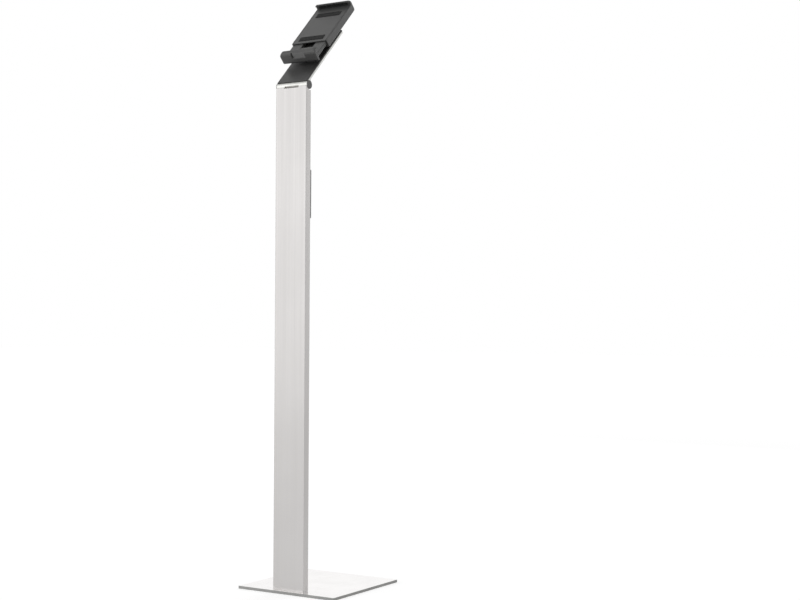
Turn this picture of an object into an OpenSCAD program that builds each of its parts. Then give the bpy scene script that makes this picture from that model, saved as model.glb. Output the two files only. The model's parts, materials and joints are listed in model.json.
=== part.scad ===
// Adjustable tablet floor stand: steel plate, aluminium column, tilting arm, turning clamp holder.
// Millimetres, +Z up, +X to the right seen from the front, -Y to the front.
// The origin is on the floor, under the middle of the base plate.

/* [Base] */
// Width of the base plate
plate_w = 250; // [220:1:320]
// Depth of the base plate
plate_d = 250; // [220:1:320]
// Thickness of the base plate
plate_t = 6; // [5:0.5:10]
// Radius of the plate's upright corners
plate_corner_r = 3; // [1:0.5:10]
// Diameter of each rubber pad
pad_d = 22; // [12:1:30]
// How far a pad stands out below the plate
pad_h = 1; // [0.5:0.1:3]
// How far a pad is let into the plate
pad_seat = 1; // [0.5:0.1:2]
// Distance of the pads from the plate's edges
pad_inset = 24; // [18:1:40]

/* [Column] */
// Width of the column
column_w = 80; // [76:1:120]
// Front to back depth of the column
column_t = 17; // [16:0.5:26]
// Thickness of the column's outer walls
column_wall = 2; // [1.2:0.1:3]
// Radius of the column's long edges
column_edge_r = 1.2; // [0.5:0.1:2]
// How far the column stands back from the plate's front edge
column_setback = 12; // [6:1:80]
// Width of the cable channel inside the column
channel_w = 17; // [12:0.5:24]
// Thickness of the webs beside the cable channel
web_t = 2; // [1:0.1:3]
// Width of the cable groove in the rear wall
groove_w = 5; // [4:0.1:7]
// Width of the ribs that hold the screws
port_rib = 7; // [6:0.1:9]
// Diameter of the screws in the column
screw_d = 4.2; // [3.5:0.1:5]
// How far the screws reach into the column
screw_grip = 20; // [10:1:40]
// Height of the lock slot above the plate
lock_slot_z = 12; // [4:0.5:60]
// Length of the lock slot
lock_slot_w = 7; // [5:0.1:8]
// Height of the lock slot
lock_slot_h = 3; // [2:0.1:5]
// Gap from the plate to the lower end of the groove strip
strip_low_gap = 24; // [10:1:60]
// Gap from the hinge axis down to the upper end of the groove strip
strip_top_gap = 38; // [30:1:80]
// Depth of the groove strip in the groove
strip_t = 1.4; // [0.8:0.1:2]

/* [Hinge] */
// Height of the hinge axis above the floor
axis_h = 1080; // [600:1:1400]
// Radius of the hinge barrel
barrel_r = 9; // [8:0.1:10]
// Gap between the barrel and the column's cradle
cradle_gap = 0.5; // [0.3:0.05:1]
// Least thickness of the column's front lip beside the barrel
lip_skin = 0.5; // [0.3:0.1:1.5]
// Width of the middle knuckle and its two washers
window_w = 36; // [30:0.5:40]
// How much smaller than the barrel's radius the middle knuckle's is
knuckle_step = 1.5; // [1:0.1:3]
// Diameter of the hinge axle
axle_d = 6; // [4:0.1:8]
// Thickness of a hinge friction washer
washer_t = 0.9; // [0.6:0.1:1.2]
// Drop from the axis to the top of the column's front wall
front_drop = 3.5; // [2:0.1:5]
// Gap between the barrel and the hinge bracket's flange below it
flange_gap = 2; // [1:0.1:6]
// Thickness of the hinge bracket's flange
flange_t = 5; // [4:0.1:8]
// Wall of the barrel round the recess in each end
barrel_wall = 2.25; // [1.5:0.05:3]
// Height of the axle's nut
axle_nut_h = 4.8; // [3:0.1:6]
// Height of the two dished springs together
spring_stack = 2.4; // [1.6:0.1:4]
// Thickness of a barrel end cap outside the barrel
cap_t = 0.5; // [0.4:0.1:2.5]
// How far an end cap stands out round the barrel
cap_rim = 0.4; // [0:0.1:1]
// How far the barrel's front skin reaches down over the middle knuckle, in degrees
skin_angle = 50; // [30:1:60]

/* [Arm] */
// Distance from the holder's pivot to the arm's upper edge
arm_head = 36; // [30:1:60]
// Thickness of the arm plate
arm_t = 4.5; // [4:0.1:7]
// Radius of the cove between the arm's back and the barrel
cove_r = 6; // [3:0.5:10]
// Thickness of the arm's front cover
arm_cover_t = 2; // [1:0.1:3]
// How far the arm leans back from upright
lean_angle = 45; // [20:1:60]
// Distance of the holder's pivot from the hinge axis
pivot_z = 150; // [138:1:190]
// Diameter of the pivot spindle
spindle_d = 12; // [8:0.5:16]
// Diameter of the round cover over the pivot
pivot_cover_d = 40; // [32:1:50]
// Thickness of the round cover over the pivot
pivot_cover_t = 1.2; // [0.8:0.1:1.4]
// Diameter of the hub disc
hub_d = 76; // [74:1:90]
// Thickness of the hub disc
hub_t = 6; // [4:0.1:10]
// Diameter of the hub screws
hub_screw_d = 4; // [3:0.1:5]
// How far the hub screws reach into the arm
hub_screw_grip = 2.5; // [1.5:0.1:3]

/* [Holder] */
// Width of the holder's housing
holder_w = 92; // [80:1:130]
// Thickness of the housing's side walls
holder_wall = 3; // [2:0.1:5]
// Thickness of the housing's back wall
holder_back_t = 3.5; // [2.5:0.1:5]
// Clear depth inside the housing
holder_depth = 11; // [9.5:0.1:16]
// Thickness of the face that the device rests on
face_t = 2.5; // [2:0.1:3.5]
// Thickness of the rubber pads
rubber_t = 1; // [0.8:0.1:1.5]
// Gap between the claws' pads, the height of the device held
opening_h = 180; // [150:1:240]
// How far the lower claw slides each way
claw_travel = 46; // [20:1:50]
// Height of the lower claw's pads above the hinge axis, along the arm
device_z = 64; // [60:0.5:78]
// Depth of the slot between the face and the claws' lips
slot_d = 7; // [6:0.1:14]
// Thickness of the claws' lips
lip_t = 4.5; // [3:0.1:6]
// How far a lip reaches over the device
lip_reach = 3; // [2:0.5:9]
// Extra height of the lower lip's right part
lip_step = 3.5; // [0:0.1:5]
// Distance of the step in the lower lip from the middle
lip_step_x = 6; // [0:0.5:30]
// Thickness of the upper claw's top
upper_t = 6; // [5:0.1:9]
// Thickness of the lower claw's floor
floor_t = 6.5; // [5:0.1:8]
// Width of the plug window in the lower claw
plug_window_w = 34; // [20:1:40]
// Depth of the plug window in the lower claw
plug_window_d = 12.5; // [8:0.5:13]
// Radius of the claws' outer edges at the back
claw_r = 5; // [2:0.5:6]
// Radius of the claws' outer edges at the front
hook_r = 9.5; // [5:0.5:12]
// Radius of the claws' front corners, seen along the arm
plan_r = 8; // [4:0.5:12]
// Width of the fork in the lower claw's slider
fork_w = 32; // [28:1:50]
// Diameter of the lock screw
lock_d = 5; // [4:0.1:6]

/* [Charger box] */
// Width of the charger box
box_w = 60; // [44:1:76]
// Height of the charger box
box_h = 105; // [80:1:160]
// Depth of the charger box
box_d = 17; // [13:0.5:30]
// Drop from the hinge axis to the middle of the charger box
box_drop = 230; // [130:1:480]
// Thickness of the box cover's walls
box_wall = 2; // [1.6:0.1:3]
// Thickness of the box base
box_base_t = 4; // [3:0.1:5]
// Radius of the box cover's corners
box_corner_r = 3; // [2:0.5:5]
// Distance of the box screws from the box's ends
box_screw_inset = 18.5; // [12:0.5:30]
// Height of the upper cable wedge in the box's sides
wedge_upper = 27; // [15:1:30]
// Height of the lower cable wedge in the box's sides
wedge_lower = 13; // [8:1:20]
// Depth of the cable wedges at the box's ends
wedge_depth = 9; // [5:0.5:10]

/* [Hidden] */
$fn = 64;

// Clearances, and how far a cut runs past a face
fit = 0.05;
slide_gap = 0.3;
cut = 1;

// Countersunk screws: the head's diameter for each millimetre of the screw's
screw_head_ratio = 1.9;
function head_d(d) = screw_head_ratio * d;
function head_h(d) = (head_d(d) - d) / 2;

// Base and column levels
base_top = pad_h + plate_t;
column_front_y = -plate_d / 2 + column_setback;
column_y = column_front_y + column_t / 2;
column_back_y = column_front_y + column_t;
groove_floor_y = column_back_y - column_wall - fit;
inner_t = column_t - 2 * column_wall;
inner_w = column_w - 2 * column_wall;

// Hinge stack along the axis
window_half = window_w / 2;
barrel_half = column_w / 2;
knuckle_half = window_half - washer_t - 2 * fit;
knuckle_r = barrel_r - knuckle_step;
skin_in = knuckle_r + slide_gap;
washer_d = 2 * knuckle_r - 1;
end_bore_d = 2 * (barrel_r - barrel_wall);
axle_tip = 0.5;
cap_plug_h = 1.6;
cap_room = 0.7;
end_floor_x = barrel_half - spring_stack - axle_nut_h - axle_tip - cap_plug_h - cap_room;

// Hinge levels
axis_y = column_front_y + barrel_r + cradle_gap + lip_skin;
flange_top = axis_h - barrel_r - flange_gap;
flange_bottom = flange_top - flange_t;
front_top = axis_h - front_drop;
window_gap = 0.6;
window_top = barrel_r + window_gap;

// Screws in the column, beside the bracket's cheeks and beside the side walls
screw_edge = 1;
screw_inner_x = knuckle_half + head_d(screw_d) / 2 + screw_edge;
screw_outer_x = inner_w / 2 - head_d(screw_d) / 2 - screw_edge;
screw_xs = [-screw_outer_x, -screw_inner_x, screw_inner_x, screw_outer_x];
lock_slot_x = (channel_w / 2 + web_t + screw_inner_x - port_rib / 2) / 2;

// Pivot of the holder
arm_len = pivot_z + arm_head;
spindle_flange_d = pivot_cover_d - 6;
spindle_flange_t = 1.25;
hub_rim = 10;
hub_screw_r = hub_d / 2 - hub_rim;
ring_t = 0.9;
pivot_washer_t = 1;
wave_t = 1.2;
pivot_nut_t = 5.5;
pivot_nut_d = spindle_d + 7.6;

// Levels in front of the hinge axis, at right angles to the arm
arm_front = barrel_r;
arm_back = arm_front - arm_t;
spindle_back = arm_back + pivot_cover_t + fit;
cover_front = arm_front + fit + arm_cover_t;
hub_back = cover_front + fit;
hub_front = hub_back + hub_t;
ring_front = hub_front + fit + ring_t;
housing_back = ring_front + fit;
housing_floor = housing_back + holder_back_t;
washer_back = housing_floor + fit;
wave_back = washer_back + pivot_washer_t + fit;
nut_back = wave_back + wave_t + fit;
nut_front = nut_back + pivot_nut_t;
face_back = housing_floor + holder_depth;
face_front = face_back + face_t;
device_back = face_front + rubber_t;
lip_inner = device_back + slot_d;
lip_front = lip_inner + lip_t;

// Levels along the arm, from the hinge axis
travel_room = 2;
floor_top = device_z - rubber_t;
floor_bottom = floor_top - floor_t;
upper_inner = device_z + opening_h + rubber_t;
upper_top = upper_inner + upper_t;
housing_low = floor_top + claw_travel + travel_room;
tongue_top = upper_inner - claw_travel - cut;

// Slider inside the housing
claw_back = housing_back + 1;
tongue_half = holder_w / 2 - holder_wall - slide_gap;
guide_h = 2.8;
tongue_back = housing_floor + guide_h + slide_gap;
tongue_front = face_back - slide_gap;
nut_room = 3.2;
fork_z = pivot_z - claw_travel - pivot_nut_d / 2 - nut_room;
lock_rise = 16;
lock_z = housing_low + lock_rise;
lock_b = (tongue_back + tongue_front) / 2;

// Charger box levels
box_z = axis_h - box_drop;
box_low = box_z - box_h / 2;
box_top = box_z + box_h / 2;
box_base_w = box_w - 2 * box_wall - 2 * slide_gap;
box_base_h = box_h - 2 * box_wall - 2 * slide_gap;
box_inner_r = box_corner_r - box_wall / 2;
box_screw_d = groove_w - 1;
box_screw_z = box_h / 2 - box_screw_inset;
groove_nut = [channel_w - 3, 4, 10];

// A rectangle with round corners, about its middle
module rounded_rect(w, h, r) {
  square([w - 2 * r, h], center = true);
  square([w, h - 2 * r], center = true);
  for (sx = [-1, 1], sy = [-1, 1])
    translate([sx * (w / 2 - r), sy * (h / 2 - r)]) circle(r = r);
}

// The same rectangle given by its corners
module round_block(u0, v0, u1, v1, r) {
  translate([(u0 + u1) / 2, (v0 + v1) / 2]) rounded_rect(u1 - u0, v1 - v0, r);
}

// A round bar along X between two places
module bar_x(x0, x1, d) {
  translate([x0, 0, 0]) rotate([0, 90, 0]) cylinder(h = x1 - x0, d = d);
}

// The place of the hinge axis, upright
module at_axis() { translate([0, axis_y, axis_h]) children(); }

// The arm's own frame: the axis is the origin, Z runs up the arm, -Y is its front
module lean() { at_axis() rotate([-lean_angle, 0, 0]) children(); }

// A block across the arm between two levels in front of the axis
module slab(w, b0, b1, z0, z1) { translate([-w / 2, -b1, z0]) cube([w, b1 - b0, z1 - z0]); }

// A round bar that points to the arm's front, about the pivot
module bar_front(b0, b1, d, fn = 64) {
  translate([0, -b0, pivot_z]) rotate([90, 0, 0]) cylinder(h = b1 - b0, d = d, $fn = fn);
}

// A side outline (level in front of the axis, height along the arm) drawn out across the arm
module across(x0, x1) { translate([x1, 0, 0]) rotate([90, 0, -90]) linear_extrude(x1 - x0) children(); }

// A countersunk screw that points up, with its head's face at the origin
module flat_screw(d, len) {
  cylinder(h = head_h(d), d1 = head_d(d), d2 = d);
  cylinder(h = len, d = d);
}

// The countersunk hole for such a screw, through a given thickness
module screw_hole(d, thick) {
  room = 4 * fit;
  cylinder(h = head_h(d), d1 = head_d(d) + room, d2 = d + room);
  translate([0, 0, -cut]) cylinder(h = thick + 2 * cut, d = d + room);
}

// Steel base plate
module base_plate() {
  color("gainsboro") difference() {
    translate([0, 0, pad_h]) linear_extrude(plate_t) rounded_rect(plate_w, plate_d, plate_corner_r);
    for (sx = [-1, 1], sy = [-1, 1])
      translate([sx * (plate_w / 2 - pad_inset), sy * (plate_d / 2 - pad_inset), pad_h - cut])
        cylinder(h = pad_seat + cut, d = pad_d + 2 * fit);
    for (x = screw_xs) translate([x, column_y, pad_h]) screw_hole(screw_d, plate_t);
  }
}

// Four rubber pads let into the plate's underside
module base_pads() {
  color("dimgray") for (sx = [-1, 1], sy = [-1, 1])
    translate([sx * (plate_w / 2 - pad_inset), sy * (plate_d / 2 - pad_inset), 0])
      cylinder(h = pad_h + pad_seat, d = pad_d);
}

// Four countersunk screws from below into the column
module base_screws() {
  color("silver") for (x = screw_xs)
    translate([x, column_y, pad_h]) flat_screw(screw_d, plate_t + screw_grip);
}

// The column's cross-section: two walls, webs beside the cable channel, screw ribs, rear groove
module column_section() {
  difference() {
    rounded_rect(column_w, column_t, column_edge_r);
    difference() {
      square([inner_w, inner_t], center = true);
      for (s = [-1, 1]) translate([s * (channel_w + web_t) / 2, 0]) square([web_t, column_t], center = true);
      for (s = [0, 1]) mirror([s, 0]) {
        translate([screw_inner_x - port_rib / 2, -column_t / 2]) square([port_rib, column_t]);
        translate([screw_outer_x - port_rib / 2, -column_t / 2]) square([column_w / 2, column_t]);
      }
    }
    for (x = screw_xs) translate([x, 0]) circle(d = screw_d + 2 * fit);
    translate([-groove_w / 2, 0]) square([groove_w, column_t]);
  }
}

// Aluminium column, cut at the top to cradle the hinge barrel
module column() {
  notch_h = 1.7;
  color("silver") difference() {
    translate([0, column_y, base_top]) linear_extrude(front_top - base_top) column_section();
    at_axis() bar_x(-column_w, column_w, 2 * (barrel_r + cradle_gap));
    translate([-column_w, axis_y, flange_top]) cube([2 * column_w, column_t, axis_h]);
    translate([-inner_w / 2, column_y - inner_t / 2, flange_bottom]) cube([inner_w, inner_t, axis_h]);
    translate([-window_half - cut, column_front_y - cut, front_top - notch_h])
      cube([window_w + 2 * cut, column_wall + 2 * cut, axis_h]);
    translate([-lock_slot_x - lock_slot_w / 2, column_back_y - column_wall - cut, base_top + lock_slot_z])
      cube([lock_slot_w, column_wall + 2 * cut, lock_slot_h]);
  }
}

// Fixed hinge bracket: a flange inside the column, two cheeks and the middle knuckle
module hinge_bracket() {
  flange_d = inner_t - 2 * fit;
  cheek_t = 6;
  cheek_front = skin_in * cos(skin_angle) - slide_gap;
  cheek_back = groove_floor_y - axis_y;
  cable_hole_w = 2 * (knuckle_half - cheek_t - cut);
  cable_hole_d = flange_d - 5;
  color("dimgray") difference() {
    union() {
      translate([-inner_w / 2 + fit, column_y - flange_d / 2, flange_bottom])
        cube([inner_w - 2 * fit, flange_d, flange_t]);
      for (s = [0, 1]) mirror([s, 0, 0])
        translate([knuckle_half - cheek_t, axis_y - cheek_front, flange_top - cut])
          cube([cheek_t, cheek_front + cheek_back, axis_h - flange_top + cut]);
      at_axis() bar_x(-knuckle_half, knuckle_half, 2 * knuckle_r);
    }
    at_axis() bar_x(-column_w, column_w, axle_d + 2 * fit);
    translate([-cable_hole_w / 2, column_y - cable_hole_d / 2, flange_bottom - cut])
      cube([cable_hole_w, cable_hole_d, flange_t + 2 * cut]);
    for (x = screw_xs)
      translate([x, column_y, flange_top]) rotate([180, 0, 0]) screw_hole(screw_d, flange_t);
  }
}

// Four countersunk screws from above into the column's ribs
module hinge_bracket_screws() {
  color("silver") for (x = screw_xs)
    translate([x, column_y, flange_top]) rotate([180, 0, 0]) flat_screw(screw_d, flange_t + screw_grip);
}

// A dark strip pressed into the rear groove, with a wider foot inside the channel
module groove_strip(z0, z1) {
  foot_w = groove_w + 4;
  foot_t = 1.2;
  color("dimgray") {
    translate([-groove_w / 2 + fit, groove_floor_y, z0]) cube([groove_w - 2 * fit, strip_t, z1 - z0]);
    translate([-foot_w / 2, groove_floor_y - foot_t, z0]) cube([foot_w, foot_t, z1 - z0]);
  }
}

// Upper groove strip, from the charger box to below the hinge
module groove_strip_upper() { groove_strip(box_top, axis_h - strip_top_gap); }

// Lower groove strip, from above the plate to the charger box
module groove_strip_lower() { groove_strip(base_top + strip_low_gap, box_low); }

// Base of the charger box, screwed to the column
module charger_box_base() {
  key_t = 1.2;
  color("dimgray") difference() {
    union() {
      translate([0, column_back_y, box_z]) rotate([-90, 0, 0])
        linear_extrude(box_base_t) rounded_rect(box_base_w, box_base_h, box_inner_r);
      translate([-groove_w / 2 + fit, column_back_y - key_t, box_z - box_base_h / 2])
        cube([groove_w - 2 * fit, key_t + cut, box_base_h]);
    }
    for (s = [-1, 1])
      translate([0, column_back_y + box_base_t, box_z + s * box_screw_z]) rotate([90, 0, 0])
        screw_hole(box_screw_d, box_base_t + key_t);
  }
}

// Two countersunk screws through the box base into the groove nuts
module charger_box_screws() {
  color("silver") for (s = [-1, 1])
    translate([0, column_back_y + box_base_t, box_z + s * box_screw_z]) rotate([90, 0, 0])
      flat_screw(box_screw_d, box_base_t + column_wall + groove_nut.y);
}

// Two nuts behind the rear wall of the column
module groove_nuts() {
  color("gray") for (s = [-1, 1])
    translate([0, groove_floor_y, box_z + s * box_screw_z]) difference() {
      translate([-groove_nut.x / 2, -groove_nut.y, -groove_nut.z / 2]) cube(groove_nut);
      translate([0, cut, 0]) rotate([90, 0, 0])
        cylinder(h = groove_nut.y + 2 * cut, d = box_screw_d + 2 * fit);
    }
}

// A wedge-shaped cable gap in both sides of the box cover, deepest at the cover's end
module cable_wedge(z_end, z_tip) {
  translate([box_w, column_back_y, 0]) rotate([90, 0, -90]) mirror([1, 0, 0])
    linear_extrude(2 * box_w) polygon([[0, z_end], [wedge_depth, z_end], [0, z_tip]]);
}

// Pull-off cover of the charger box
module charger_box_cover() {
  notch_rise = 33;
  notch = [2 * box_w, 3, 4];
  color("dimgray") difference() {
    translate([0, column_back_y + slide_gap, box_z]) rotate([-90, 0, 0])
      linear_extrude(box_d - slide_gap) rounded_rect(box_w, box_h, box_corner_r);
    translate([0, column_back_y - cut, box_z]) rotate([-90, 0, 0])
      linear_extrude(box_d - box_wall + cut)
        rounded_rect(box_w - 2 * box_wall, box_h - 2 * box_wall, box_inner_r);
    cable_wedge(box_top + cut, box_top - wedge_upper);
    cable_wedge(box_low - cut, box_low + wedge_lower);
    translate([-notch.x / 2, column_back_y, box_low + notch_rise]) cube(notch);
  }
}

// Side outline of the cove between the arm's back and the barrel
module cove_outline() {
  cove_b = arm_back - cove_r;
  cove_z = sqrt((barrel_r + cove_r) ^ 2 - cove_b ^ 2);
  difference() {
    polygon([[0, 0], [cove_b, cove_z], [arm_back + cut, cove_z], [arm_back + cut, 0]]);
    translate([cove_b, cove_z]) circle(r = cove_r);
  }
}

// Side outline of the front skin that joins the two hinge knuckles
module skin_outline() {
  far = 2 * barrel_r;
  translate([skin_in, 0]) square([barrel_r - skin_in, window_top + cut]);
  intersection() {
    difference() {
      circle(r = barrel_r);
      circle(r = skin_in);
    }
    polygon([[0, 0], [far, cut], [far * cos(skin_angle), -far * sin(skin_angle)]]);
  }
}

// Arm plate with the two hinge knuckles, aluminium
module arm() {
  corner_r = 3;
  hub_hole = hub_screw_grip + 0.5;
  color("silver") lean() {
    difference() {
      union() {
        translate([0, -arm_back, 0]) rotate([90, 0, 0]) linear_extrude(arm_t) {
          translate([-column_w / 2, 0]) square([column_w, arm_len - corner_r]);
          round_block(-column_w / 2, arm_len / 2, column_w / 2, arm_len, corner_r);
        }
        across(-barrel_half, barrel_half) cove_outline();
        for (s = [0, 1]) mirror([s, 0, 0]) bar_x(window_half, barrel_half, 2 * barrel_r);
      }
      slab(window_w, -2 * barrel_r, 2 * barrel_r, -2 * barrel_r, window_top);
      bar_x(-column_w, column_w, axle_d + 2 * fit);
      for (s = [0, 1]) mirror([s, 0, 0]) bar_x(end_floor_x, column_w, end_bore_d);
      bar_front(arm_back - cut, spindle_back + spindle_flange_t + fit, pivot_cover_d + 2 * fit);
      bar_front(0, 2 * barrel_r, spindle_d + 2 * fit);
      hub_screw_places() translate([0, -arm_front + hub_hole, 0]) rotate([90, 0, 0])
        cylinder(h = hub_hole + cut, d = hub_screw_d + 2 * fit);
    }
    across(-window_half - cut, window_half + cut) skin_outline();
  }
}

// The four places of the hub screws, in the arm's frame
module hub_screw_places() {
  for (q = [45 : 90 : 315])
    translate([hub_screw_r * cos(q), 0, pivot_z + hub_screw_r * sin(q)]) children();
}

// Dark cover on the arm's front
module arm_front_cover() {
  edge = 0.8;
  foot = 1;
  color("dimgray") lean() difference() {
    slab(column_w - 2 * edge, arm_front + fit, cover_front, foot, arm_len - edge);
    bar_front(0, cover_front + cut, spindle_d + 8 * fit);
    hub_screw_places() translate([0, -arm_front, 0]) rotate([90, 0, 0])
      cylinder(h = 2 * barrel_r, d = hub_screw_d + 4 * fit);
  }
}

// Hinge axle with its round head in the left end of the barrel
module hinge_axle() {
  head_d = end_bore_d - 2.5;
  head_h = 5;
  head_x = -end_floor_x - fit;
  color("silver") lean() {
    bar_x(head_x - head_h, head_x, head_d);
    bar_x(head_x - cut, end_floor_x + spring_stack + axle_nut_h + axle_tip, axle_d);
  }
}

// Two friction washers beside the middle knuckle
module hinge_washers() {
  color("goldenrod") lean() for (s = [0, 1]) mirror([s, 0, 0]) difference() {
    bar_x(knuckle_half + fit, knuckle_half + fit + washer_t, washer_d);
    bar_x(0, column_w, axle_d + 2 * fit);
  }
}

// Two dished springs under the axle nut
module hinge_disc_springs() {
  spring_d = end_bore_d - 1;
  leaf = spring_stack / 2 - 2 * fit;
  dish = leaf / 3;
  bore_r = axle_d / 2 + fit;
  color("gray") lean() for (k = [0, 1])
    translate([end_floor_x + fit + k * spring_stack / 2, 0, 0]) rotate([0, 90, 0]) rotate_extrude()
      polygon([[bore_r, dish], [spring_d / 2, 0], [spring_d / 2, leaf - dish], [bore_r, leaf]]);
}

// Nut on the axle, in the right end of the barrel
module axle_nut() {
  nut_x = end_floor_x + spring_stack + fit;
  nut_corner_d = end_bore_d - 2;
  color("silver") lean() difference() {
    translate([nut_x, 0, 0]) rotate([0, 90, 0]) cylinder(h = axle_nut_h, d = nut_corner_d, $fn = 6);
    bar_x(0, column_w, axle_d + 2 * fit);
  }
}

// Dark end cap of the barrel: a thin disc and a plug
module end_cap() {
  color("dimgray") {
    bar_x(barrel_half + fit, barrel_half + fit + cap_t, 2 * (barrel_r + cap_rim));
    bar_x(barrel_half - cap_plug_h, barrel_half + cap_t / 2, end_bore_d - 2 * fit);
  }
}

// Left end cap
module end_cap_left() { lean() mirror([1, 0, 0]) end_cap(); }

// Right end cap
module end_cap_right() { lean() end_cap(); }

// Spindle that the holder turns on, with a flange let into the arm's back
module pivot_spindle() {
  spindle_tip = 0.5;
  color("silver") lean() {
    bar_front(spindle_back, spindle_back + spindle_flange_t, spindle_flange_d);
    bar_front(spindle_back + spindle_flange_t / 2, nut_front + spindle_tip, spindle_d);
  }
}

// Round cover, flush with the arm's back
module pivot_cover() { color("lightgray") lean() bar_front(arm_back, arm_back + pivot_cover_t, pivot_cover_d); }

// Hub disc between the arm and the holder
module hub_disc() {
  color("black") lean() difference() {
    bar_front(hub_back, hub_front, hub_d);
    bar_front(0, hub_front + cut, spindle_d + 8 * fit);
    hub_screw_places() translate([0, -hub_front, 0]) rotate([-90, 0, 0]) screw_hole(hub_screw_d, hub_t);
  }
}

// Four countersunk screws through the hub disc into the arm
module hub_screws() {
  color("silver") lean() hub_screw_places() translate([0, -hub_front, 0]) rotate([-90, 0, 0])
    flat_screw(hub_screw_d, hub_front - arm_front + hub_screw_grip);
}

// Plastic ring that the holder turns against
module pivot_friction_ring() {
  ring_step = 6;
  ring_d = hub_d - 2 * ring_step;
  color("ivory") lean() difference() {
    bar_front(hub_front + fit, ring_front, ring_d);
    bar_front(0, ring_front + cut, spindle_d + 8 * fit);
  }
}

// A round piece on the spindle
module spindle_ring(b0, thick, d) {
  lean() difference() {
    bar_front(b0, b0 + thick, d);
    bar_front(0, b0 + thick + cut, spindle_d + 2 * fit);
  }
}

// Washer inside the housing
module pivot_washer() { color("silver") spindle_ring(washer_back, pivot_washer_t, 2 * spindle_d); }

// Wave spring inside the housing
module pivot_wave_spring() { color("gray") spindle_ring(wave_back, wave_t, spindle_d + 8); }

// Nut that holds the holder on the spindle
module pivot_nut() {
  color("silver") lean() difference() {
    bar_front(nut_back, nut_front, pivot_nut_d, 6);
    bar_front(0, nut_front + cut, spindle_d + 2 * fit);
  }
}

// Side outline of a claw's block, with round edges at the back and rounder ones at the front
module claw_block(b0, z0, z1) {
  intersection() {
    round_block(b0, z0, lip_front, z1, claw_r);
    round_block(b0 - 2 * hook_r, z0, lip_front, z1, hook_r);
  }
}

// The holder's outline seen along the arm, with round front corners
module claw_plan() {
  linear_extrude(2 * upper_top) round_block(-holder_w / 2, -lip_front, holder_w / 2, lip_front, plan_r);
}

// Side outline of the housing: back wall, top and the upper claw's lip
module housing_outline() {
  lip_low = upper_inner - rubber_t - lip_reach;
  spare = 3 * hook_r;
  difference() {
    claw_block(housing_back, housing_low - spare, upper_top);
    translate([housing_back - cut, housing_low - spare - cut]) square([lip_front, spare + cut]);
    translate([housing_floor, housing_low - cut]) square([lip_inner - housing_floor, upper_inner - housing_low + cut]);
    translate([face_front, housing_low - cut]) square([lip_front, lip_low - housing_low + cut]);
  }
}

// Housing of the holder with the fixed upper claw
module holder_housing() {
  guide_w = 8;
  guide_x = tongue_half - guide_w;
  color("dimgray") lean() difference() {
    union() {
      intersection() {
        across(-holder_w / 2, holder_w / 2) housing_outline();
        claw_plan();
      }
      for (s = [0, 1]) mirror([s, 0, 0]) {
        translate([holder_w / 2 - holder_wall, -face_front, housing_low])
          cube([holder_wall, face_front - housing_floor + cut, upper_inner - housing_low + cut]);
        translate([guide_x, -housing_floor - guide_h, housing_low])
          cube([guide_w + slide_gap + cut, guide_h + cut, upper_inner - housing_low + cut]);
      }
    }
    bar_front(0, face_back, spindle_d + 2 * fit);
    translate([0, -lock_b, lock_z]) bar_x(-holder_w, 0, lock_d + 2 * fit);
  }
}

// Face that closes the housing, between its side walls
module holder_face() {
  w = holder_w - 2 * holder_wall - 2 * fit;
  color("dimgray") lean() slab(w, face_back, face_front, housing_low, upper_inner - fit);
}

// Rubber pads that the device leans on
module face_pads() {
  pad_side = 14;
  pad_h = 14;
  low_edge = 8;
  top_edge = 22;
  color("black") lean() for (z = [housing_low + low_edge, upper_inner - top_edge - pad_h])
    slab(holder_w - 2 * pad_side, face_front, device_back, z, z + pad_h);
}

// Rubber pad under the upper claw
module upper_claw_pad() {
  edge = 8;
  color("black") lean()
    slab(holder_w - 2 * edge, device_back, lip_inner - fit, upper_inner - rubber_t, upper_inner);
}

// Lock screw in the housing's side, which holds the slider
module lock_screw() {
  head_d = 9;
  head_h = 4;
  socket = 4;
  tip = -tongue_half - slide_gap / 2;
  color("silver") lean() translate([0, -lock_b, lock_z]) difference() {
    union() {
      bar_x(-holder_w / 2 - fit, tip, lock_d);
      bar_x(-holder_w / 2 - fit - head_h, -holder_w / 2 - fit, head_d);
    }
    translate([-holder_w / 2 - fit - head_h - cut, 0, 0]) rotate([0, 90, 0])
      cylinder(h = cut + head_h / 2, d = socket / cos(30), $fn = 6);
  }
}

// Side outline of the lower claw's hook up to a given lip height
module hook_outline(lip_top) {
  spare = 3 * hook_r;
  difference() {
    claw_block(claw_back, floor_bottom, lip_top + spare);
    translate([claw_back - cut, floor_top]) square([lip_inner - claw_back + cut, 2 * spare]);
    translate([claw_back - cut, lip_top]) square([lip_front, 2 * spare]);
  }
}

// Lower claw with the forked slider that runs in the housing
module lower_claw() {
  lip_top = device_z + lip_reach;
  color("dimgray") lean() difference() {
    union() {
      intersection() {
        union() {
          across(-holder_w / 2, lip_step_x) hook_outline(lip_top);
          across(lip_step_x - fit, holder_w / 2) hook_outline(lip_top + lip_step);
        }
        claw_plan();
      }
      slab(2 * tongue_half, tongue_back, tongue_front, floor_bottom + claw_r, tongue_top);
    }
    slab(fork_w, 0, face_front, fork_z, tongue_top + cut);
    slab(plug_window_w, tongue_front, tongue_front + plug_window_d, floor_bottom - cut, device_z);
  }
}

// Two rubber pads on the lower claw's floor, beside the plug window
module lower_claw_pads() {
  pad_edge = 3;
  pad_w = (holder_w - plug_window_w) / 2 - 2 * pad_edge;
  color("black") lean() for (s = [-1, 1])
    translate([s * (plug_window_w / 2 + pad_edge + pad_w / 2), 0, 0])
      slab(pad_w, face_front, lip_inner - fit, floor_top, device_z);
}

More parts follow.
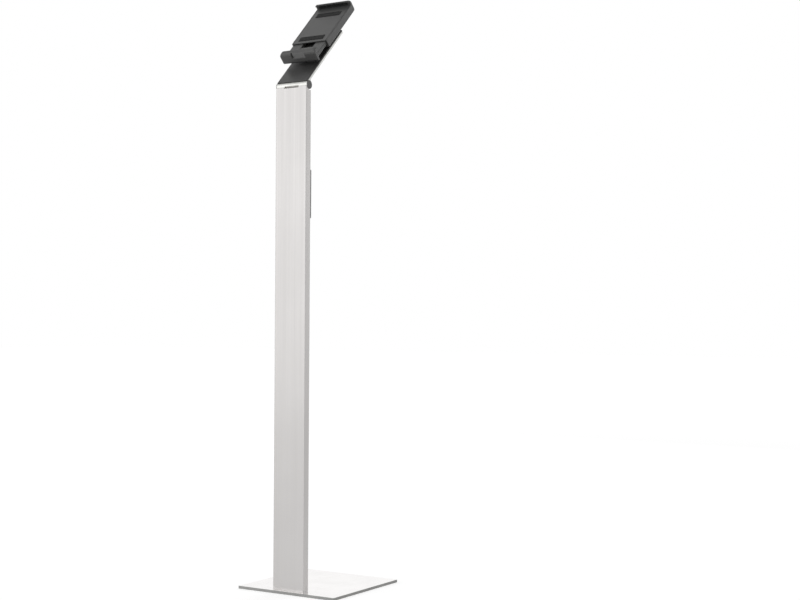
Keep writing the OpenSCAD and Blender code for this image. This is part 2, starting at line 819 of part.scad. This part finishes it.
base_plate();
base_pads();
base_screws();
column();
hinge_bracket();
hinge_bracket_screws();
groove_strip_upper();
groove_strip_lower();
charger_box_base();
charger_box_screws();
groove_nuts();
charger_box_cover();
arm();
arm_front_cover();
hinge_axle();
hinge_washers();
hinge_disc_springs();
axle_nut();
end_cap_left();
end_cap_right();
pivot_spindle();
pivot_cover();
hub_disc();
hub_screws();
pivot_friction_ring();
pivot_washer();
pivot_wave_spring();
pivot_nut();
holder_housing();
holder_face();
face_pads();
upper_claw_pad();
lock_screw();
lower_claw();
lower_claw_pads();
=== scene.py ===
"""Looks of an adjustable floor stand: steel plate, aluminium column, tilting arm and turning holder.

Metres, +Z up, +X to the right seen from the front, -Y to the front. Sections follow the assembly order.
"""
import json
import math

import bmesh
import bpy
from mathutils import Matrix, Vector


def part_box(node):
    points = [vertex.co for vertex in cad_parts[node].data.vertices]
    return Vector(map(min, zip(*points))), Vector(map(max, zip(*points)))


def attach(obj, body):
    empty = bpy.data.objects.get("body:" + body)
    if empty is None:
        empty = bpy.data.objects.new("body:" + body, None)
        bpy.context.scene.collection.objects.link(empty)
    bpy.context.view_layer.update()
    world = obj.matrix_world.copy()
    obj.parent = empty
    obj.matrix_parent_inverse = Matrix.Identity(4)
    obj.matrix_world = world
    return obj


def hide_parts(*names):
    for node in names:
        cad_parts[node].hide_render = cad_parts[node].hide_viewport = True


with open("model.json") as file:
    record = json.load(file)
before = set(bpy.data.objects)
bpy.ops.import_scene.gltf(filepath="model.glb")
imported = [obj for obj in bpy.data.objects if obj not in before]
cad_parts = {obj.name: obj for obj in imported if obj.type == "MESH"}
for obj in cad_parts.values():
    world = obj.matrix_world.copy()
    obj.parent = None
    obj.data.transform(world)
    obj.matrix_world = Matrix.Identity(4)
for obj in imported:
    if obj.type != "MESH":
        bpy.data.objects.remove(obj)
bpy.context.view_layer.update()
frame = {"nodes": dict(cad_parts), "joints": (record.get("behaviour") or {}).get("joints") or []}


# Base plate
# A square of stainless steel sheet, laser-cut, its edges broken by hand and its top face brushed.
# Countersunk holes take the column's screws and shallow round seats below take the rubber pads.
merge_distance = 2e-5
flat_angle = math.radians(0.5)
sharp_angle = math.radians(28)
edge_steps = 3
flat_faces_first = 100
pattern_low = 0.3
pattern_high = 0.7
pattern_detail = 3.0
plate_edge = 0.0005
upright_limit = 0.5
cut_edge_slot = 1
brush_width = 0.0015
brush_length = 0.12


def linear(code):
    """The linear colour of an sRGB hex code."""
    parts = [int(code[at:at + 2], 16) / 255 for at in (1, 3, 5)]
    return [c / 12.92 if c <= 0.04045 else ((c + 0.055) / 1.055) ** 2.4 for c in parts] + [1.0]


def add(tree, kind, settings, inputs):
    """Adds one shader node. An input is a plain value or the output socket of another node."""
    made = tree.nodes.new(kind)
    for name, value in settings.items():
        setattr(made, name, value)
    for name, value in inputs.items():
        if isinstance(value, bpy.types.NodeSocket):
            tree.links.new(value, made.inputs[name])
        else:
            made.inputs[name].default_value = value
    return made


def surface(name, colours, roughness, grain, depth, cloud, sockets, turn=(0, 0, 0)):
    """A finished surface: its two extremes of colour and of roughness, and how its pattern lies.

    grain is the pattern's size along X, Y and Z in the frame turned by turn, depth how deep it lies,
    cloud the size of the soft colour changes, and sockets the shader's plain values.
    """
    made = bpy.data.materials.new(name)
    made.use_nodes = True
    tree = made.node_tree
    shader = tree.nodes["Principled BSDF"]
    for socket, value in sockets.items():
        shader.inputs[socket].default_value = value
    place = add(tree, "ShaderNodeTexCoord", {}, {}).outputs["Object"]
    lie = add(tree, "ShaderNodeMapping", {"vector_type": "TEXTURE"},
              {"Vector": place, "Rotation": turn, "Scale": grain})
    fine = add(tree, "ShaderNodeTexNoise", {},
               {"Vector": lie.outputs[0], "Scale": 1.0, "Detail": pattern_detail})
    broad = add(tree, "ShaderNodeTexNoise", {},
                {"Vector": place, "Scale": 1 / cloud, "Detail": pattern_detail})
    share = add(tree, "ShaderNodeMapRange", {},
                {"Value": broad.outputs["Fac"], "From Min": pattern_low, "From Max": pattern_high})
    # The mix node's colour sockets share their names with other sockets, so they go by number.
    mixed = add(tree, "ShaderNodeMix", {"data_type": "RGBA"},
                {0: share.outputs[0], 6: linear(colours[0]), 7: linear(colours[1])})
    sheen = add(tree, "ShaderNodeMapRange", {},
                {"Value": fine.outputs["Fac"], "From Min": pattern_low, "From Max": pattern_high,
                 "To Min": roughness[0], "To Max": roughness[1]})
    relief = add(tree, "ShaderNodeBump", {}, {"Height": fine.outputs["Fac"], "Distance": depth})
    tree.links.new(mixed.outputs[2], shader.inputs["Base Color"])
    tree.links.new(sheen.outputs[0], shader.inputs["Roughness"])
    tree.links.new(relief.outputs[0], shader.inputs["Normal"])
    return made


def merged(node):
    """A CAD node's triangles as one closed mesh with whole flat faces."""
    form = bmesh.new()
    form.from_mesh(frame["nodes"][node].data)
    bmesh.ops.remove_doubles(form, verts=form.verts, dist=merge_distance)
    bmesh.ops.dissolve_limit(form, angle_limit=flat_angle, verts=form.verts, edges=form.edges)
    return form


def put(form, name, finish, edge):
    """Makes a bmesh a piece of the object with that finish, its sharp edges rounded by edge metres."""
    mesh = bpy.data.meshes.new(name)
    for face in form.faces:
        face.smooth = True
    form.to_mesh(mesh)
    form.free()
    mesh.set_sharp_from_angle(angle=sharp_angle)
    mesh.materials.append(finish)
    piece = bpy.data.objects.new(name, mesh)
    bpy.context.scene.collection.objects.link(piece)
    rounding = piece.modifiers.new("rounded_edges", "BEVEL")
    rounding.width = edge
    rounding.segments = edge_steps
    rounding.limit_method = "ANGLE"
    rounding.angle_limit = sharp_angle
    rounding.use_clamp_overlap = False
    evened = piece.modifiers.new("flat_faces_stay_flat", "WEIGHTED_NORMAL")
    evened.weight = flat_faces_first
    evened.keep_sharp = True
    return piece


def softened(node, finish, edge):
    """The CAD node's own shape as a finished piece with rounded edges."""
    return put(merged(node), node + "_finished", finish, edge)


# Brushed stainless steel: a bright mirror drawn out along the brush lines, so that the column's foot
# shows in it. Real lines are about 0.1 mm wide; they are drawn coarser so that they show.
brushed_steel = surface(
    "brushed_stainless_steel", colours=("#F0EEED", "#F8F6F5"), roughness=(0.13, 0.24),
    grain=(brush_length, brush_width, brush_width), depth=0.000004, cloud=0.06,
    sockets={"Metallic": 1.0})

# Laser-cut steel edge: matt mid grey, ribbed upright by the beam. Real ribs are about 0.2 mm apart;
# they are drawn coarser so that they show.
cut_steel = surface(
    "laser_cut_steel_edge", colours=("#B0B0AE", "#BCBCBA"), roughness=(0.55, 0.7),
    grain=(0.0012, 0.0012, 0.02), depth=0.00002, cloud=0.02, sockets={"Specular IOR Level": 0.2})
plate_form = merged("base_plate")
for face in plate_form.faces:
    face.material_index = cut_edge_slot if abs(face.normal.z) < upright_limit else 0
plate = put(plate_form, "base_plate_finished", brushed_steel, plate_edge)
plate.data.materials.append(cut_steel)
plate.modifiers["rounded_edges"].material = cut_edge_slot
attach(plate, "stand")
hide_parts("base_plate")


# Base pads
# Four round rubber feet, moulded with a drip groove in the sole and a rounded rim, glued into the
# plate's seats so that the plate floats a little above the floor.
sole_groove_in = 0.0065
sole_groove_out = 0.0080
sole_groove_depth = 0.0004
sole_edge = 0.0001
round_steps = 64


def solids(node, view=Matrix()):
    """Lowest and highest corner of each separate solid of a CAD node, in the frame that view leads to."""
    form = merged(node)
    form.transform(view)
    left = set(form.verts)
    found = []
    while left:
        group = {left.pop()}
        edge_of_group = set(group)
        while edge_of_group:
            near = {e.other_vert(v) for v in edge_of_group for e in v.link_edges}
            edge_of_group = near - group
            group |= near
        left -= group
        corners = list(zip(*(v.co for v in group)))
        found.append((Vector(map(min, corners)), Vector(map(max, corners))))
    form.free()
    return sorted(found, key=lambda pair: tuple(pair[0]))


def spun(form, points, place, steps=round_steps):
    """Adds a turned form: a profile of radius and height pairs, spun round Z and set at place."""
    old = set(form.verts)
    dots = [form.verts.new((radius, 0, height)) for radius, height in points]
    lines = [form.edges.new(pair) for pair in zip(dots, dots[1:])]
    bmesh.ops.spin(form, geom=dots + lines, cent=(0, 0, 0), axis=(0, 0, 1), angle=math.tau,
                   steps=steps, use_merge=True)
    bmesh.ops.remove_doubles(form, verts=[v for v in form.verts if v not in old], dist=merge_distance)
    new = [v for v in form.verts if v not in old]
    bmesh.ops.transform(form, matrix=place, verts=new)
    bmesh.ops.recalc_face_normals(form, faces=list({f for v in new for f in v.link_faces}))


# Black rubber: dull, faintly grained from the mould.
rubber = surface(
    "moulded_rubber", colours=("#161616", "#1D1D1D"), roughness=(0.7, 0.85),
    grain=(0.0008, 0.0008, 0.0008), depth=0.00003, cloud=0.008, sockets={})
feet_form = bmesh.new()
for low, high in solids("base_pads"):
    pad_r = (high.x - low.x) / 2
    pad_t = high.z - low.z
    middle = Vector(((low.x + high.x) / 2, (low.y + high.y) / 2, low.z))
    profile = [(0, 0), (sole_groove_in, 0), (sole_groove_in, sole_groove_depth),
               (sole_groove_out, sole_groove_depth), (sole_groove_out, 0), (pad_r, 0),
               (pad_r, pad_t), (0, pad_t)]
    spun(feet_form, profile, Matrix.Translation(middle))
feet = put(feet_form, "base_pads_finished", rubber, sole_edge)
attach(feet, "stand")
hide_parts("base_pads")


# Column
# A flat aluminium extrusion with a cable groove down its rear and screw ribs inside. It is etched and
# clear anodised, which leaves a milky satin skin with faint die lines along its length.
column_edge = 0.0002
die_line_width = 0.003
die_line_length = 0.6

# Satin anodised aluminium: a soft, even sheen. Real die lines are finer than a hair; they are drawn
# coarser so that they show.
satin_aluminium = surface(
    "satin_anodised_aluminium", colours=("#B7B5B4", "#BDBBBA"), roughness=(0.46, 0.54),
    grain=(die_line_width, die_line_width, die_line_length), depth=0.000006, cloud=0.25,
    sockets={"Metallic": 1.0})
column = softened("column", satin_aluminium, column_edge)
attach(column, "stand")
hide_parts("column")


# Countersunk screws
# Zinc-plated steel screws with a hexagon socket and a rolled thread. One group holds the plate to the
# column, the others the hinge bracket, the box on the rear and the hub of the turning holder.
screw_head_ratio = 1.9
socket_share = 0.3
socket_depth_share = 0.7
thread_pitch = 0.001
thread_depth = 0.00025
screw_edge = 0.00008
screw_sides = 32
socket_sides = 6


def countersunk_screw(form, head, length, place):
    """Adds a hexagon-socket screw of that head diameter and length, its head at place and facing +Z."""
    old = set(form.verts)
    shank = head / screw_head_ratio / 2
    rim = bmesh.ops.create_circle(form, segments=screw_sides, radius=head / 2)["verts"]
    rim_edges = list({e for v in rim for e in v.link_edges})
    socket = bmesh.ops.create_circle(form, segments=socket_sides, radius=head * socket_share)["verts"]
    socket_edges = list({e for v in socket for e in v.link_edges})
    bmesh.ops.bridge_loops(form, edges=rim_edges + socket_edges)

    def grow(edges, radius, drop):
        """Extrudes a ring downwards, drawn in or out by radius, and returns the new ring's edges."""
        made = bmesh.ops.extrude_edge_only(form, edges=edges)["geom"]
        ring = [v for v in made if isinstance(v, bmesh.types.BMVert)]
        bmesh.ops.scale(form, vec=(radius, radius, 1), verts=ring)
        bmesh.ops.translate(form, vec=(0, 0, -drop), verts=ring)
        return [e for e in made if isinstance(e, bmesh.types.BMEdge)]

    cone = head / 2 - shank
    bmesh.ops.edgeloop_fill(form, edges=grow(socket_edges, 1, cone * socket_depth_share))
    ring = grow(rim_edges, 2 * shank / head, cone)
    valley = (shank - thread_depth) / shank
    for thread in range(int((length - cone) / thread_pitch) - 1):
        ring = grow(ring, valley, thread_pitch / 2)
        ring = grow(ring, 1 / valley, thread_pitch / 2)
    new = [v for v in form.verts if v not in old]
    lowest = min(v.co.z for v in new)
    ring = grow(ring, valley, length + lowest)
    bmesh.ops.edgeloop_fill(form, edges=ring)
    new = [v for v in form.verts if v not in old]
    bmesh.ops.recalc_face_normals(form, faces=list({f for v in new for f in v.link_faces}))
    bmesh.ops.transform(form, matrix=place, verts=new)


def screw_group(node, finish, facing):
    """A CAD node's screws with sockets and threads, their heads turned to facing."""
    turn = Vector((0, 0, 1)).rotation_difference(facing).to_matrix().to_4x4()
    form = bmesh.new()
    for low, high in solids(node, turn.inverted()):
        top = Vector(((low.x + high.x) / 2, (low.y + high.y) / 2, high.z))
        countersunk_screw(form, high.x - low.x, high.z - low.z, turn @ Matrix.Translation(top))
    return put(form, node + "_finished", finish, screw_edge)


# Zinc-plated steel: bright, faintly blotched by the plating.
zinc_plate = surface(
    "zinc_plated_steel", colours=("#B9BBB8", "#CBCCC6"), roughness=(0.25, 0.4),
    grain=(0.002, 0.002, 0.002), depth=0.000008, cloud=0.004, sockets={"Metallic": 1.0})
base_screws = screw_group("base_screws", zinc_plate, Vector((0, 0, -1)))
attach(base_screws, "stand")
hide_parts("base_screws")


# Groove strips
# Two lengths of soft grey cable trunking strip, extruded with a wide foot and pressed into the
# column's groove above and below the box, so that a cable can be laid behind them.
strip_edge = 0.0003

# Soft PVC: matt mid grey with a slight drag along its length.
soft_pvc = surface(
    "soft_grey_pvc", colours=("#6E6D6A", "#787774"), roughness=(0.55, 0.7),
    grain=(0.001, 0.001, 0.05), depth=0.00001, cloud=0.05, sockets={})
for name in ("groove_strip_lower", "groove_strip_upper"):
    strip = softened(name, soft_pvc, strip_edge)
    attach(strip, "stand")
    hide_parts(name)


# Box on the rear: base, screws and groove nuts
# The base is a moulded tray. Its two screws pull it against the column by square steel nuts that slide
# in the cable channel behind the groove.
tray_edge = 0.0004
nut_edge = 0.0003

# ABS, spark-eroded mould texture: dark warm grey, evenly matt.
moulded_abs = surface(
    "moulded_dark_grey_abs", colours=("#505050", "#555553"), roughness=(0.5, 0.6),
    grain=(0.0009, 0.0009, 0.0009), depth=0.00002, cloud=0.03, sockets={})
tray = softened("charger_box_base", moulded_abs, tray_edge)
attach(tray, "stand")
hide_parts("charger_box_base")
box_screws = screw_group("charger_box_screws", zinc_plate, Vector((0, 1, 0)))
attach(box_screws, "stand")
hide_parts("charger_box_screws")
groove_nuts = softened("groove_nuts", zinc_plate, nut_edge)
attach(groove_nuts, "stand")
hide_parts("groove_nuts")


# Box on the rear: cover
# A moulded cap that clips over the base. Wedge-shaped gaps in its sides, deepest at its upper and lower
# ends, let cables out, and each side has a small finger notch. Its face is plain.
cover_edge = 0.0009
cover = softened("charger_box_cover", moulded_abs, cover_edge)
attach(cover, "box_cover")
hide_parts("charger_box_cover")


# Hinge bracket
# A zinc die casting screwed into the column's upper end: a flange, two cheeks and the fixed middle
# knuckle, which shows from behind between the two halves of the arm's barrel.
bracket_edge = 0.0004

# Satin die-cast zinc: mid grey metal, slightly uneven from casting and tumbling.
cast_zinc = surface(
    "tumbled_zinc_casting", colours=("#8C8A87", "#979592"), roughness=(0.35, 0.5),
    grain=(0.0015, 0.0015, 0.0015), depth=0.00002, cloud=0.01, sockets={"Metallic": 1.0})
bracket = softened("hinge_bracket", cast_zinc, bracket_edge)
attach(bracket, "stand")
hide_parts("hinge_bracket")
bracket_screws = screw_group("hinge_bracket_screws", zinc_plate, Vector((0, 0, 1)))
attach(bracket_screws, "stand")
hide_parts("hinge_bracket_screws")


# Hinge axle and friction parts
# A turned steel axle clamps acetal washers between the knuckles. Two dished springs under its nut set
# the friction, so the arm stays at any lean.
turned_edge = 0.0002

# Natural acetal: waxy off-white.
acetal = surface(
    "natural_acetal", colours=("#D8D2C0", "#E0DAC9"), roughness=(0.35, 0.45),
    grain=(0.001, 0.001, 0.001), depth=0.000005, cloud=0.02, sockets={})
for name in ("hinge_axle", "hinge_disc_springs", "axle_nut"):
    turned = softened(name, zinc_plate, turned_edge)
    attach(turned, "arm")
    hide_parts(name)
washers = softened("hinge_washers", acetal, turned_edge)
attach(washers, "arm")
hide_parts("hinge_washers")


# Arm
# An aluminium extrusion cut to length: a flat plate that runs through a cove into the round barrel of
# the hinge. The barrel's middle is milled out from behind and keeps a thin front skin. The arm is
# brushed along its length and clear anodised.
arm_edge = 0.0003
arm_brush_width = 0.0016
arm_brush_length = 0.09
turning = next(joint for joint in frame["joints"] if joint["name"] == "holder_turn")
arm_front = Vector(turning["axis"])
arm_along = arm_front.cross(Vector((1, 0, 0)))
lean = math.atan2(arm_along.y, arm_along.z)

# Brushed anodised aluminium: smoother than the column's satin skin, so it mirrors more. Real lines are
# about 0.1 mm wide; they are drawn coarser so that they show.
brushed_aluminium = surface(
    "brushed_anodised_aluminium", colours=("#B6B6B3", "#C2C2BF"), roughness=(0.3, 0.42),
    grain=(arm_brush_width, arm_brush_width, arm_brush_length), depth=0.000006, cloud=0.03,
    sockets={"Metallic": 1.0}, turn=(-lean, 0, 0))
arm = softened("arm", brushed_aluminium, arm_edge)
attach(arm, "arm")
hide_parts("arm")


# Barrel end caps
# Thin dark moulded discs pressed into both ends of the barrel by a short plug, each with a chamfered rim
# round a slightly sunk face.
cap_edge = 0.00005
cap_rim = 0.0012
cap_dish = 0.0002
cap_seat = 0.00005
cap_plug_r = 0.0067
tilt = next(joint for joint in frame["joints"] if joint["name"] == "arm_tilt")
hinge_axis = Vector(tilt["pos_m"])
for name, outward in (("end_cap_left", -1), ("end_cap_right", 1)):
    low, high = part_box(name)
    cap_r = (high.z - low.z) / 2
    cap_face = max(abs(low.x), abs(high.x))
    cap_depth = high.x - low.x
    barrel_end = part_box("arm")[1].x
    cap_t = cap_face - barrel_end
    profile = [(0, cap_t - cap_dish), (cap_r - cap_rim, cap_t - cap_dish),
               (cap_r - cap_rim + cap_dish, cap_t), (cap_r - cap_dish, cap_t),
               (cap_r, cap_t - cap_dish), (cap_r, cap_seat), (cap_plug_r, cap_seat),
               (cap_plug_r, cap_t - cap_depth), (0, cap_t - cap_depth)]
    stand_out = Matrix.Translation((outward * barrel_end, hinge_axis.y, hinge_axis.z))
    cap_form = bmesh.new()
    spun(cap_form, profile, stand_out @ Matrix.Rotation(outward * math.pi / 2, 4, "Y"))
    cap = put(cap_form, name + "_finished", moulded_abs, cap_edge)
    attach(cap, "arm")
    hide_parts(name)


# Arm front cover
# A thin dark polycarbonate blade with rounded edges that covers the arm's front and its screw holes.
# The hub's screws go through it and hold it to the arm.
blade_edge = 0.0006

# Polycarbonate, fine matt texture: near black with a soft sheen.
blade_plastic = surface(
    "matt_dark_polycarbonate", colours=("#303030", "#353534"), roughness=(0.38, 0.48),
    grain=(0.0008, 0.0008, 0.0008), depth=0.00001, cloud=0.03, sockets={})
blade = softened("arm_front_cover", blade_plastic, blade_edge)
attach(blade, "arm")
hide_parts("arm_front_cover")


# Hub of the turning holder
# A black glass-filled nylon disc screwed through the blade into the arm. The spindle is clamped by its
# flange between the arm and the hub, and carries the holder.
hub_edge = 0.0006

# Glass-filled nylon: black and slightly rough.
black_nylon = surface(
    "black_glass_filled_nylon", colours=("#131313", "#181818"), roughness=(0.45, 0.6),
    grain=(0.001, 0.001, 0.001), depth=0.00002, cloud=0.02, sockets={})
hub = softened("hub_disc", black_nylon, hub_edge)
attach(hub, "arm")
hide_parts("hub_disc")
hub_screws = screw_group("hub_screws", zinc_plate, arm_front)
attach(hub_screws, "arm")
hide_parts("hub_screws")
for name in ("pivot_spindle", "pivot_washer", "pivot_wave_spring", "pivot_nut"):
    turned = softened(name, zinc_plate, turned_edge)
    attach(turned, "arm")
    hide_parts(name)
ring = softened("pivot_friction_ring", acetal, turned_edge)
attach(ring, "arm")
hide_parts("pivot_friction_ring")


# Pivot cover
# A flush aluminium disc pressed into the arm's back over the spindle. It is faced on a lathe, so its
# fine rings catch the light differently from the brushed plate round it.
disc_chamfer = 0.0004
disc_edge = 0.0001
disc_steps = 96
ring_pitch = 0.0012
ring_depth = 0.00001
ring_wobble = 0.3
wave_radians = 20
arm_frame = Matrix.Translation(hinge_axis) @ Matrix.Rotation(-lean, 4, "X")
from_arm = arm_frame.inverted()
low, high = solids("pivot_cover", from_arm)[0]
disc_r = (high.x - low.x) / 2
disc_t = high.y - low.y
disc_middle = Vector(((low.x + high.x) / 2, high.y, (low.z + high.z) / 2))
disc_frame = arm_frame @ Matrix.Translation(disc_middle) @ Matrix.Rotation(-math.pi / 2, 4, "X")
profile = [(0, 0), (disc_r - disc_chamfer, 0), (disc_r, -disc_chamfer), (disc_r, -disc_t), (0, -disc_t)]
disc_form = bmesh.new()
spun(disc_form, profile, disc_frame, disc_steps)

# Lathe-turned aluminium: concentric tool rings. Real rings are about 0.2 mm apart; they are drawn
# coarser so that they show. At a scale of 1 the wave node runs through wave_radians in a metre.
turned_aluminium = surface(
    "lathe_turned_aluminium", colours=("#BEBEBB", "#C8C8C5"), roughness=(0.3, 0.38),
    grain=(0.001, 0.001, 0.001), depth=0.000004, cloud=0.02, sockets={"Metallic": 1.0})
tree = turned_aluminium.node_tree
shader = tree.nodes["Principled BSDF"]
place = add(tree, "ShaderNodeTexCoord", {}, {}).outputs["Object"]
centred = add(tree, "ShaderNodeMapping", {"vector_type": "TEXTURE"},
              {"Vector": place, "Location": disc_frame.translation, "Rotation": disc_frame.to_euler()})
rings = add(tree, "ShaderNodeTexWave", {"wave_type": "RINGS", "rings_direction": "Z"},
            {"Vector": centred.outputs[0], "Scale": math.tau / wave_radians / ring_pitch,
             "Distortion": ring_wobble})
relief = add(tree, "ShaderNodeBump", {}, {"Height": rings.outputs["Fac"], "Distance": ring_depth})
tree.links.new(relief.outputs[0], shader.inputs["Normal"])
disc = put(disc_form, "pivot_cover_finished", turned_aluminium, disc_edge)
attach(disc, "arm")
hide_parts("pivot_cover")


# Holder housing and face
# Two moulded nylon shells: the housing with the fixed upper claw turns on the spindle, and the face
# closes it at the front. Edges are well rounded, because hands hold it while it turns.
holder_edge = 0.0012
face_edge = 0.0005
seat_depth_limit = 0.0006

# Nylon, fine mould texture: dark grey with a soft sheen on its rounded edges.
holder_nylon = surface(
    "moulded_dark_nylon", colours=("#424242", "#474746"), roughness=(0.42, 0.52),
    grain=(0.0009, 0.0009, 0.0009), depth=0.00002, cloud=0.03, sockets={})

# The pad's seat in the upper claw is shallower than the rounding, so its rim stays sharp.
housing_form = merged("holder_housing")
rounded = housing_form.edges.layers.float.new("bevel_weight_edge")
for line in housing_form.edges:
    room = min(face.calc_area() for face in line.link_faces) / line.calc_length()
    line[rounded] = float(line.calc_face_angle(0) > sharp_angle and room > seat_depth_limit)
housing = put(housing_form, "holder_housing_finished", holder_nylon, holder_edge)
housing.modifiers["rounded_edges"].limit_method = "WEIGHT"
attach(housing, "holder")
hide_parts("holder_housing")
holder_face = softened("holder_face", holder_nylon, face_edge)
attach(holder_face, "holder")
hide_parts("holder_face")
lock_screw = softened("lock_screw", zinc_plate, turned_edge)
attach(lock_screw, "holder")
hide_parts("lock_screw")


# Lower claw
# A moulded nylon hook on a forked slider that runs in the housing. Its floor has a window for a
# charging plug, and its lip is one step higher on one side.
claw_edge = 0.0009
claw = softened("lower_claw", holder_nylon, claw_edge)
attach(claw, "claw")
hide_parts("lower_claw")


# Rubber pads of the holder
# Ribbed strips moulded in rubber and glued to the face and into both claws, so that the device is held
# without slipping or being scratched.
rib_pitch = 0.002
rib_height = 0.0004
rib_edge = 0.0001


def ribbed_pad(form, low, high, normal, across):
    """Adds a pad that fills low to high in the arm's frame, with ribs spaced along the axis across.

    normal is the axis and the sign of the side that the ribs stand on.
    """
    size = high - low
    out = Vector((0, 0, 0))
    out[normal[0]] = normal[1]
    depth = size[normal[0]]
    along = ({0, 1, 2} - {normal[0], across}).pop()
    count = 2 * int(size[across] / rib_pitch) + 1
    grid = bmesh.ops.create_grid(form, x_segments=count, y_segments=1, size=1 / 2)["verts"]
    turn = Matrix.Identity(3)
    turn.col[0] = [size[across] if axis == across else 0 for axis in range(3)]
    turn.col[1] = [size[along] if axis == along else 0 for axis in range(3)]
    turn.col[2] = out
    middle = (low + high) / 2 - out * depth / 2
    bmesh.ops.transform(form, matrix=Matrix.Translation(middle) @ turn.to_4x4(), verts=grid)
    base = list({face for dot in grid for face in dot.link_faces})
    raised = bmesh.ops.extrude_face_region(form, geom=base)["geom"]
    dots = [part for part in raised if isinstance(part, bmesh.types.BMVert)]
    bmesh.ops.translate(form, vec=out * (depth - rib_height), verts=dots)
    tops = [part for part in raised if isinstance(part, bmesh.types.BMFace)]
    tops.sort(key=lambda face: face.calc_center_median()[across])
    ribs = bmesh.ops.extrude_discrete_faces(form, faces=tops[::2])["faces"]
    dots = list({dot for face in ribs for dot in face.verts})
    bmesh.ops.translate(form, vec=out * rib_height, verts=dots)


# The arm's frame has X across, Y to the arm's back and Z along it.
for name, normal, across, body in (
        ("face_pads", (1, -1), 2, "holder"),
        ("upper_claw_pad", (2, -1), 0, "holder"),
        ("lower_claw_pads", (2, 1), 0, "claw")):
    pads_form = bmesh.new()
    for low, high in solids(name, from_arm):
        ribbed_pad(pads_form, low, high, normal, across)
    bmesh.ops.recalc_face_normals(pads_form, faces=pads_form.faces)
    pads_form.transform(arm_frame)
    pads = put(pads_form, name + "_finished", rubber, rib_edge)
    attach(pads, body)
    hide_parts(name)


# Floor, light and camera
# A pale paper floor keeps a faint shadow and shines by itself, more so far from the stand, to even out the
# lamps' pool of light. Metal mirrors a bright surround, with one broad lamp at the front left and a weaker
# one behind. The camera stands where the photograph was taken from.
floor_size = 40
surround_light = 0.55
floor_glow = (0.6, 0.72)
lamp_pool = (1.5, 6.0)
lamp_places = (
    ("front_lamp", (-1.9, -2.9, 1.7), 3.4, 40),
    ("rear_lamp", (0.15, 3.2, 1.9), 2.6, 32))
lamp_target = Vector((0, -0.05, 0.75))
camera_place = Vector((1.754533, -2.501951, 0.578470))
camera_yaw = math.radians(31.7685)
camera_pitch = math.radians(0.8857)
camera_roll = math.radians(0.2806)
camera_lens = 62.599
camera_sensor = 36


def background_rays(tree):
    """One for rays that see the background: from the camera, a mirror or clear glass."""
    rays = add(tree, "ShaderNodeLightPath", {}, {})
    first = add(tree, "ShaderNodeMath", {"operation": "MAXIMUM"},
                {0: rays.outputs["Is Camera Ray"], 1: rays.outputs["Is Glossy Ray"]})
    return add(tree, "ShaderNodeMath", {"operation": "MAXIMUM"},
               {0: first.outputs[0], 1: rays.outputs["Is Transmission Ray"]}).outputs[0]


form = bmesh.new()
bmesh.ops.create_grid(form, x_segments=1, y_segments=1, size=floor_size / 2)
mesh = bpy.data.meshes.new("studio_floor")
form.to_mesh(mesh)
form.free()
paper = bpy.data.materials.new("white_studio_paper")
paper.use_nodes = True
tree = paper.node_tree
shader = tree.nodes["Principled BSDF"]
shader.inputs["Base Color"].default_value = linear("#C8C8C8")
shader.inputs["Roughness"].default_value = 1.0
shader.inputs["Specular IOR Level"].default_value = 0.0
shader.inputs["Emission Color"].default_value = linear("#FFFFFF")
place = add(tree, "ShaderNodeTexCoord", {}, {}).outputs["Object"]
away = add(tree, "ShaderNodeVectorMath", {"operation": "LENGTH"}, {0: place}).outputs["Value"]
even = add(tree, "ShaderNodeMapRange", {},
           {"Value": away, "From Min": lamp_pool[0], "From Max": lamp_pool[1],
            "To Min": floor_glow[0], "To Max": floor_glow[1]})
glow = add(tree, "ShaderNodeMath", {"operation": "MULTIPLY"},
           {0: background_rays(tree), 1: even.outputs[0]})
tree.links.new(glow.outputs[0], shader.inputs["Emission Strength"])
mesh.materials.append(paper)
floor = bpy.data.objects.new("studio_floor", mesh)
bpy.context.scene.collection.objects.link(floor)

world = bpy.data.worlds.new("bright_surround")
world.use_nodes = True
tree = world.node_tree
sky = tree.nodes["Background"]
sky.inputs["Color"].default_value = linear("#FFFFFF")
strength = add(tree, "ShaderNodeMapRange", {}, {"Value": background_rays(tree), "To Min": surround_light})
tree.links.new(strength.outputs[0], sky.inputs["Strength"])
bpy.context.scene.world = world

for name, place, size, power in lamp_places:
    lamp = bpy.data.lights.new(name, "AREA")
    lamp.size = size
    lamp.energy = power
    fixture = bpy.data.objects.new(name, lamp)
    fixture.location = place
    fixture.rotation_euler = (lamp_target - Vector(place)).to_track_quat("-Z", "Y").to_euler()
    bpy.context.scene.collection.objects.link(fixture)

camera = bpy.data.cameras.new("camera")
camera.lens = camera_lens
camera.sensor_width = camera_sensor
camera.sensor_fit = "HORIZONTAL"
viewer = bpy.data.objects.new("camera", camera)
forward = Matrix.Rotation(math.pi / 2 + camera_pitch, 4, "X") @ Matrix.Rotation(camera_roll, 4, "Z")
viewer.matrix_world = Matrix.Translation(camera_place) @ Matrix.Rotation(camera_yaw, 4, "Z") @ forward
bpy.context.scene.collection.objects.link(viewer)
bpy.context.scene.camera = viewer
bpy.context.scene.view_settings.view_transform = "Standard"
